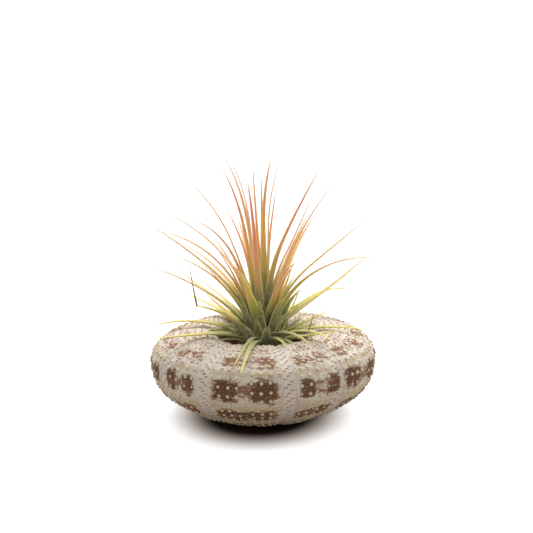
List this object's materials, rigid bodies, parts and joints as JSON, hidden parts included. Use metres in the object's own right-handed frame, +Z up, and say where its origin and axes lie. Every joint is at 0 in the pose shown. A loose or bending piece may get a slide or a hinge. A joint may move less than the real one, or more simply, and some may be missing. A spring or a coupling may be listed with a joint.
{
  "type": "air plant holder",
  "caption": "Cleaned sea urchin shell, mouth upward, used as a holder, with a removable rosette air plant set loosely in its mouth.",
  "frame": {"origin": "centre of the vent hole in the shell's underside, at the level that the shell rests on", "axes": "+Z up along the shell's axis, out of its mouth; -Y is the side that the picture shows, +X to its right"},
  "size_m": [0.0944, 0.1047, 0.1102],
  "materials": {
    "shell_plates": "matte",
    "apical_disc": "matte",
    "stem": "matte",
    "leaf": "matte"
  },
  "bodies": {
    "shell": {"apical_disc": "apical_disc", "narrow_zone_1": "shell_plates", "narrow_zone_2": "shell_plates", "narrow_zone_3": "shell_plates", "narrow_zone_4": "shell_plates", "narrow_zone_5": "shell_plates", "wide_zone_1": "shell_plates", "wide_zone_2": "shell_plates", "wide_zone_3": "shell_plates", "wide_zone_4": "shell_plates", "wide_zone_5": "shell_plates"},
    "plant": {"heart_leaf_1": "leaf", "heart_leaf_2": "leaf", "heart_leaf_3": "leaf", "heart_leaf_4": "leaf", "low_leaf_1": "leaf", "low_leaf_10": "leaf", "low_leaf_11": "leaf", "low_leaf_12": "leaf", "low_leaf_13": "leaf", "low_leaf_14": "leaf", "low_leaf_15": "leaf", "low_leaf_2": "leaf", "low_leaf_3": "leaf", "low_leaf_4": "leaf", "low_leaf_5": "leaf", "low_leaf_6": "leaf", "low_leaf_7": "leaf", "low_leaf_8": "leaf", "low_leaf_9": "leaf", "middle_leaf_1": "leaf", "middle_leaf_10": "leaf", "middle_leaf_11": "leaf", "middle_leaf_12": "leaf", "middle_leaf_13": "leaf", "middle_leaf_14": "leaf", "middle_leaf_15": "leaf", "middle_leaf_16": "leaf", "middle_leaf_2": "leaf", "middle_leaf_3": "leaf", "middle_leaf_4": "leaf", "middle_leaf_5": "leaf", "middle_leaf_6": "leaf", "middle_leaf_7": "leaf", "middle_leaf_8": "leaf", "middle_leaf_9": "leaf", "stem": "stem", "upper_leaf_1": "leaf", "upper_leaf_10": "leaf", "upper_leaf_11": "leaf", "upper_leaf_12": "leaf", "upper_leaf_2": "leaf", "upper_leaf_3": "leaf", "upper_leaf_4": "leaf", "upper_leaf_5": "leaf", "upper_leaf_6": "leaf", "upper_leaf_7": "leaf", "upper_leaf_8": "leaf", "upper_leaf_9": "leaf"}
  },
  "joints": [
    {"name": "plant_lift", "type": "slide", "parent": "shell", "child": "plant", "axis": [0, 0, 1], "range_m": [0, 0.12]}
  ]
}
